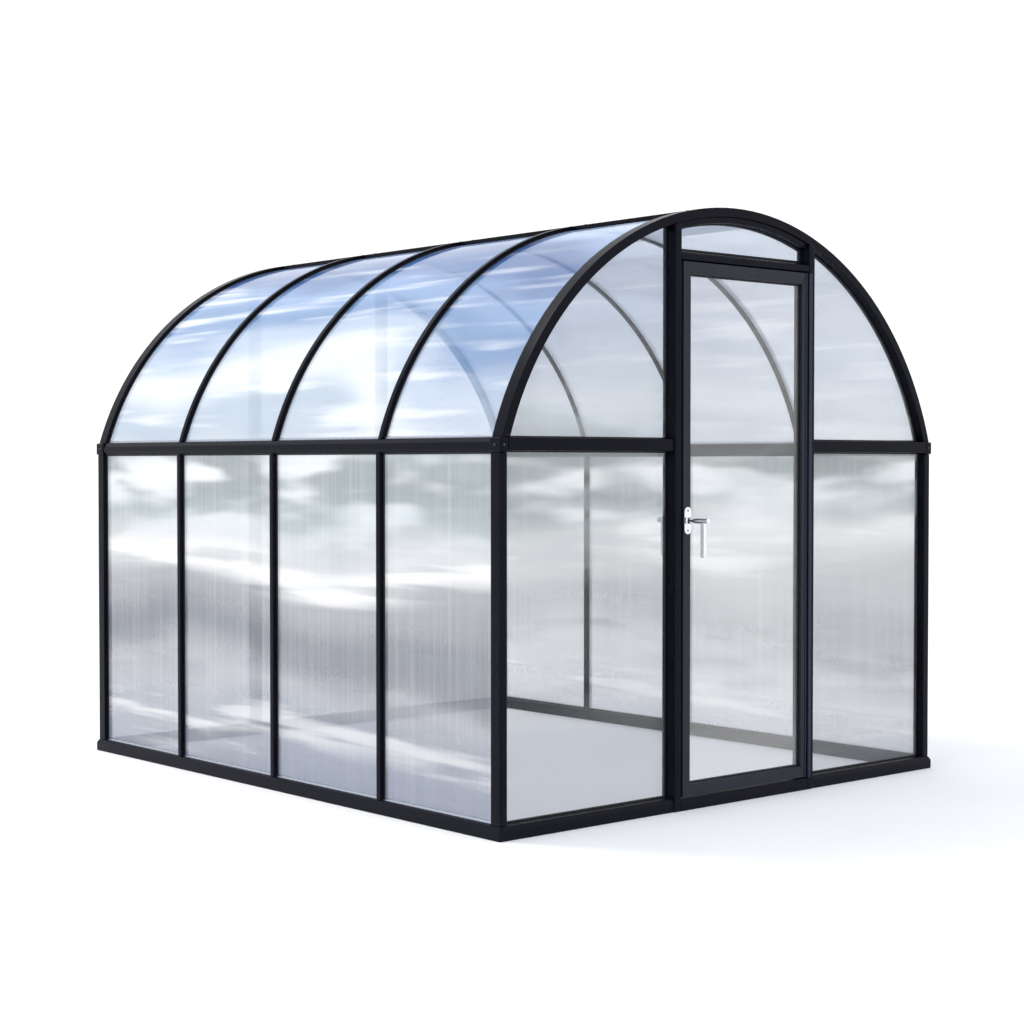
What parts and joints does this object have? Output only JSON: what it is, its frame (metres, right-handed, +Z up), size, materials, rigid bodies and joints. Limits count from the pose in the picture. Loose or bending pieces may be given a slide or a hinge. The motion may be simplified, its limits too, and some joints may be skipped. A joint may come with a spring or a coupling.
{
  "type": "polycarbonate greenhouse",
  "caption": "Walk-in greenhouse with a round arched roof, a dark metal frame, clear polycarbonate sheets and a hinged door under a fixed fanlight.",
  "frame": {"origin": "on the ground at the middle of the plan box, door handle included", "axes": "+Z up, the door gable faces -Y, +X to the right as seen from in front of the door"},
  "size_m": [2.3, 2.758, 2.1498],
  "materials": {
    "dark_frame": "satin anthracite powder coat",
    "leaf_frame": "satin blue-grey powder coat",
    "wall_sheet": "slightly milky polycarbonate",
    "roof_sheet": "glossy polycarbonate with a faint blue tint",
    "hinge_metal": "satin",
    "bright_metal": "polished",
    "dark_rubber": "matt glazing gasket"
  },
  "bodies": {
    "building": {"base_rail_left": "dark_frame", "base_rail_right": "dark_frame", "base_rail_back": "dark_frame", "base_rails_front": "dark_frame", "corner_post_front_left": "dark_frame", "corner_post_front_right": "dark_frame", "corner_post_back_left": "dark_frame", "corner_post_back_right": "dark_frame", "side_studs_left": "dark_frame", "side_studs_right": "dark_frame", "eave_beam_left": "dark_frame", "eave_beam_right": "dark_frame", "eave_corner_blocks": "dark_frame", "front_eave_rails": "dark_frame", "back_eave_rails": "dark_frame", "front_arch": "dark_frame", "back_arch": "dark_frame", "roof_rib_1": "dark_frame", "roof_rib_2": "dark_frame", "roof_rib_3": "dark_frame", "roof_purlins_left": "dark_frame", "roof_purlins_right": "dark_frame", "back_posts": "dark_frame", "wall_sheets_left": "wall_sheet", "wall_sheets_right": "wall_sheet", "roof_sheet_1": "roof_sheet", "roof_sheet_2": "roof_sheet", "roof_sheet_3": "roof_sheet", "roof_sheet_4": "roof_sheet", "front_sheets_lower": "wall_sheet", "front_sheets_upper": "wall_sheet", "back_sheets_lower": "wall_sheet", "back_sheets_upper": "wall_sheet", "door_threshold": "dark_frame", "door_jamb_left": "dark_frame", "door_jamb_right": "dark_frame", "door_head": "dark_frame", "fanlight_head_bar": "dark_frame", "fanlight_sill": "dark_frame", "fanlight_sheet": "wall_sheet", "door_hinge_fixed": "hinge_metal"},
    "door": {"door_stiles": "leaf_frame", "door_rails": "leaf_frame", "door_sheet": "wall_sheet", "door_hinge_moving": "hinge_metal", "door_handle_plates": "bright_metal"},
    "door_handle": {"door_handle_levers": "bright_metal"}
  },
  "joints": [
    {"name": "door_hinge", "type": "hinge", "parent": "building", "child": "door", "pos_m": [0.3765, -1.28, 1], "axis": [0, 0, 1], "range_deg": [0, 110]},
    {"name": "handle_turn", "type": "hinge", "parent": "door", "child": "door_handle", "pos_m": [-0.282, -1.275, 1.028], "axis": [0, -1, 0], "range_deg": [0, 90]}
  ]
}
